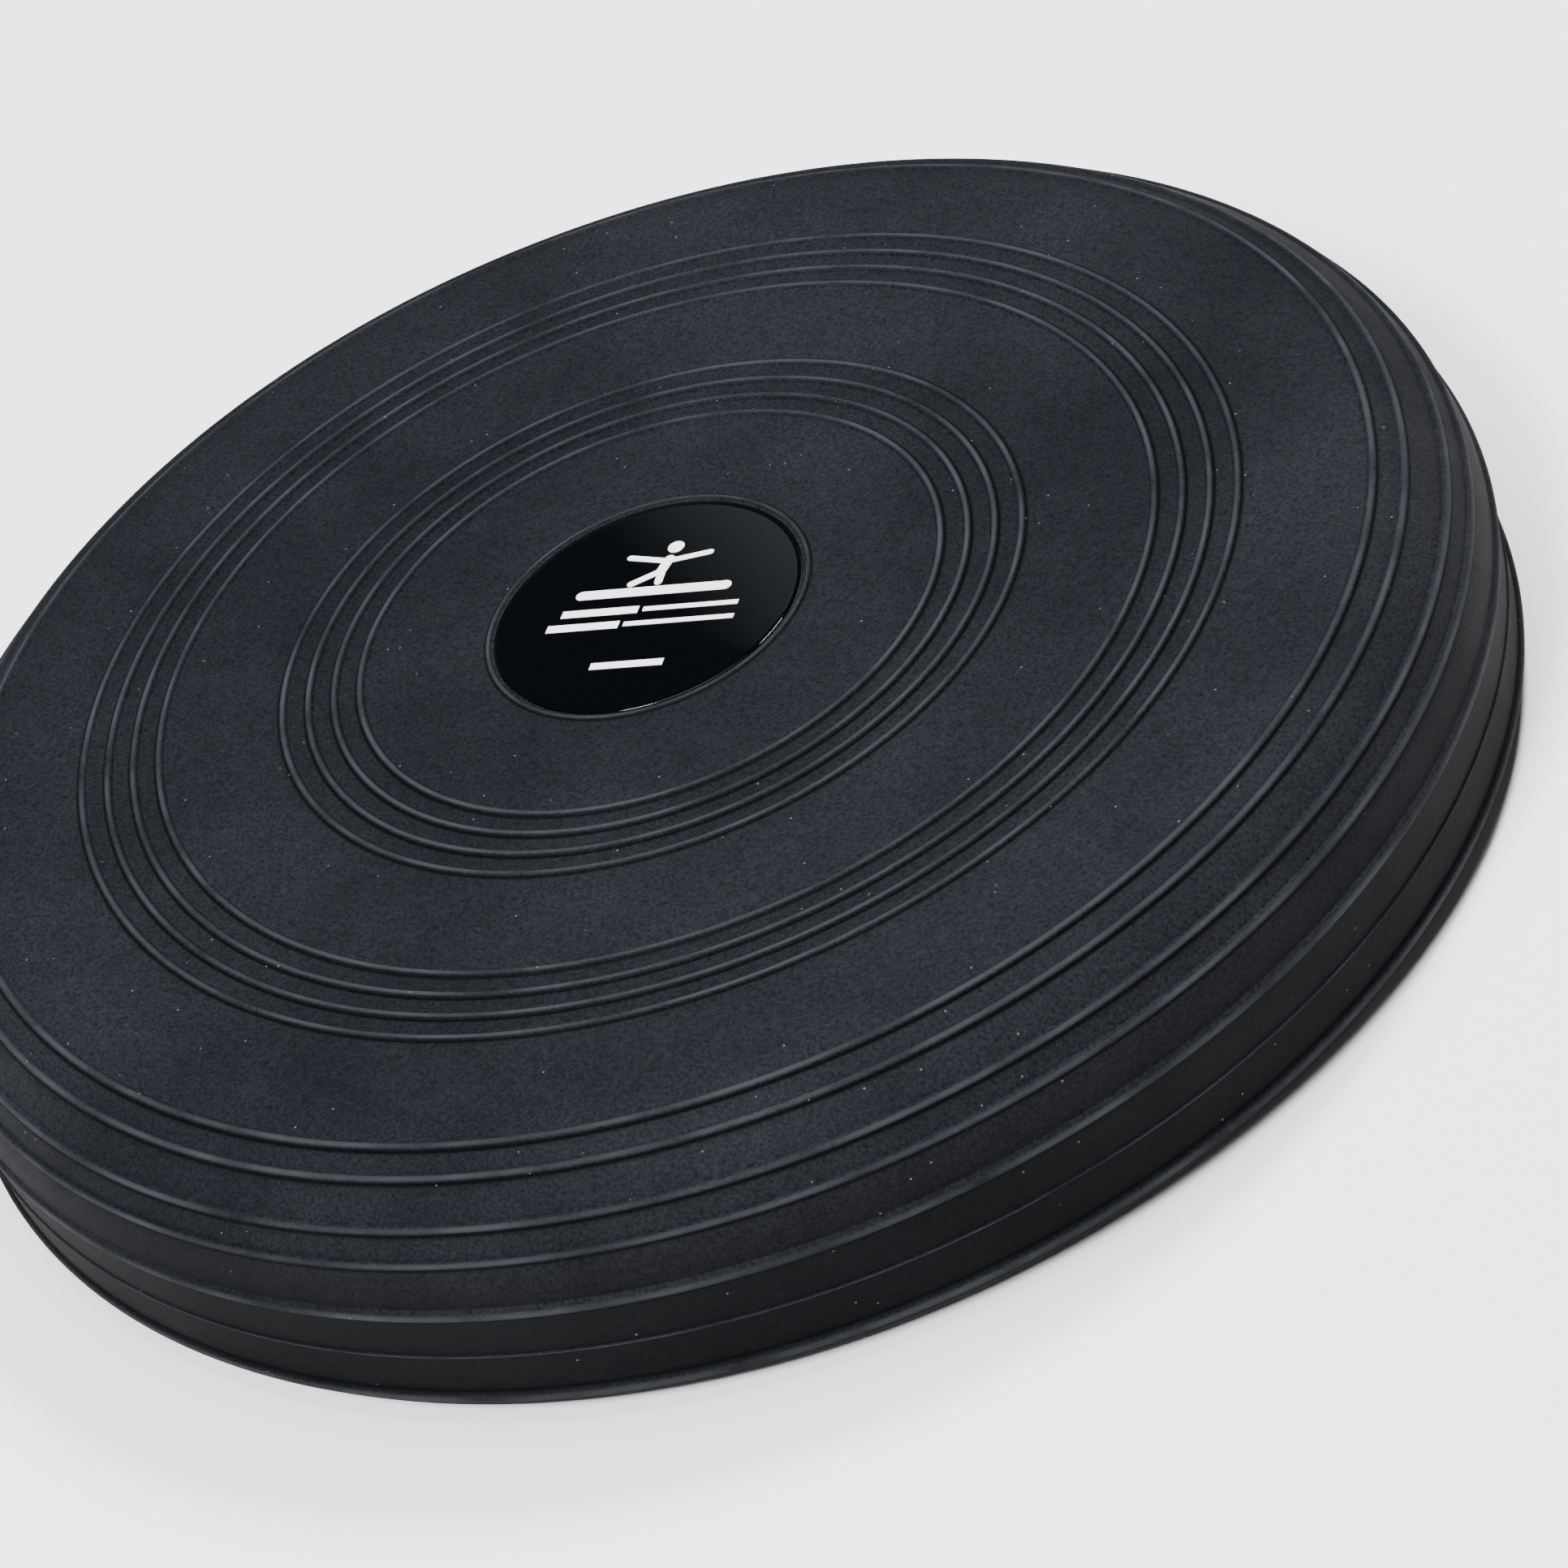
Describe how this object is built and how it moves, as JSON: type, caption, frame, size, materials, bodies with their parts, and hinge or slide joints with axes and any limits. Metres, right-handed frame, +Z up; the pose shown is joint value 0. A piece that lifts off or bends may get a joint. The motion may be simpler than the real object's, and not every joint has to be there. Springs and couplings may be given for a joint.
{
  "type": "balance pad",
  "caption": "Round inflatable balance pad with moulded concentric rings on both faces, a flush label in the top and a side air valve with a pull-out plug.",
  "frame": {"origin": "on the floor under the middle of the pad, in the plane of its underside", "axes": "+Z up out of the top face, +X along the label's reading direction, +Y towards the air valve"},
  "size_m": [0.3276, 0.3332, 0.0544],
  "materials": {
    "pad_vinyl": "matte, fine-grained soft vinyl",
    "label_black": "gloss",
    "label_white": "satin print",
    "adhesive": "tacky clear sheet",
    "valve_rubber": "smooth soft rubber",
    "core_rubber": "smooth soft rubber",
    "plug_plastic": "satin"
  },
  "bodies": {
    "pad": {"upper_shell": "pad_vinyl", "lower_shell": "pad_vinyl", "label_adhesive": "adhesive", "label_film": "label_black", "label_figure": "label_white", "label_bars": "label_white", "valve_seat": "valve_rubber", "valve_core": "core_rubber"},
    "plug": {"valve_plug": "plug_plastic"}
  },
  "joints": [
    {"name": "plug_pull", "type": "slide", "parent": "pad", "child": "plug", "axis": [0, 1, 0], "range_m": [0, 0.0135]}
  ]
}
